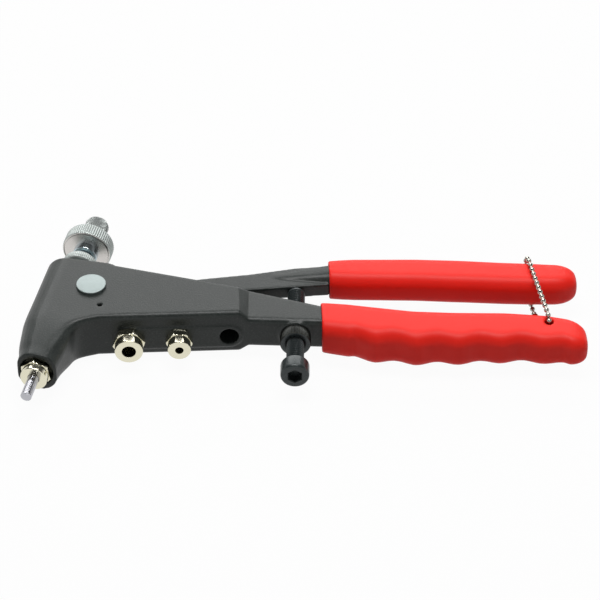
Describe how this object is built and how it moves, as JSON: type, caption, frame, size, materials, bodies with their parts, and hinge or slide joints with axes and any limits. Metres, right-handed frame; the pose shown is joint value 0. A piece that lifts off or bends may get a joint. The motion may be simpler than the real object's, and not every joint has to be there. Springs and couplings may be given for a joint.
{
  "type": "hand rivet nut tool",
  "caption": "Plier-type hand tool for setting rivet nuts, with a black cast head, a knurled draw wheel, spare nosepieces under the head, red grips and a bead keeper chain.",
  "frame": {"origin": "centre of the nosepiece's working face, on the mandrel axis and the tool's mid-plane", "axes": "+X along the head's underside towards the grips, +Y from the nose towards the knob, +Z across the tool's thickness"},
  "size_m": [0.2551, 0.1226, 0.0263],
  "materials": {
    "casting": "semi-gloss black coat on cast metal",
    "grip": "semi-gloss red vinyl",
    "nickel": "warm nickel plate",
    "zinc": "bright zinc plate",
    "steel": "turned steel",
    "black_oxide": "black oxide",
    "lock_nut": "dark plated knurl",
    "bronze": "plain bronze"
  },
  "bodies": {
    "frame": {"frame_casting": "casting", "lower_grip": "grip", "nosepiece": "nickel", "spare_nosepiece_large": "nickel", "spare_nosepiece_small": "nickel", "pivot_pin": "zinc", "pivot_washer": "zinc"},
    "lever": {"lever_casting": "casting", "pivot_bush": "bronze", "upper_grip": "grip", "keeper_chain": "nickel", "chain_clasp": "nickel"},
    "draw": {"draw_sleeve": "zinc"},
    "spindle": {"spindle_stem": "steel", "mandrel": "steel", "knob": "zinc"},
    "wheel": {"hand_wheel": "zinc", "wheel_washer": "steel"},
    "adjuster": {"adjusting_screw": "black_oxide"},
    "locknut": {"lock_nut": "lock_nut"}
  },
  "joints": [
    {"name": "lever_hinge", "type": "hinge", "parent": "frame", "child": "lever", "pos_m": [0.02539, 0.04974, 0], "axis": [0, 0, 1], "range_deg": [0, 40], "deforming": ["keeper_chain"]},
    {"name": "draw_slide", "type": "slide", "parent": "frame", "child": "draw", "axis": [0.2419, 0.9703, 0], "range_m": [-0.0047, 0]},
    {"name": "spindle_spin", "type": "hinge", "parent": "draw", "child": "spindle", "pos_m": [0, 0, 0], "axis": [0.2419, 0.9703, 0], "continuous": true},
    {"name": "wheel_spin", "type": "hinge", "parent": "spindle", "child": "wheel", "pos_m": [0.02177, 0.08733, 0], "axis": [0.2419, 0.9703, 0], "continuous": true},
    {"name": "adjuster_slide", "type": "slide", "parent": "frame", "child": "adjuster", "axis": [-0.0523, -0.9986, 0], "range_m": [0, 0.008]},
    {"name": "lock_nut_spin", "type": "hinge", "parent": "frame", "child": "locknut", "pos_m": [0.1172, 0.02437, 0], "axis": [-0.0523, -0.9986, 0], "continuous": true}
  ],
  "couplings": [
    {"joint": "draw_slide", "follows": "lever_hinge", "m_per_rad": -0.0066628}
  ]
}
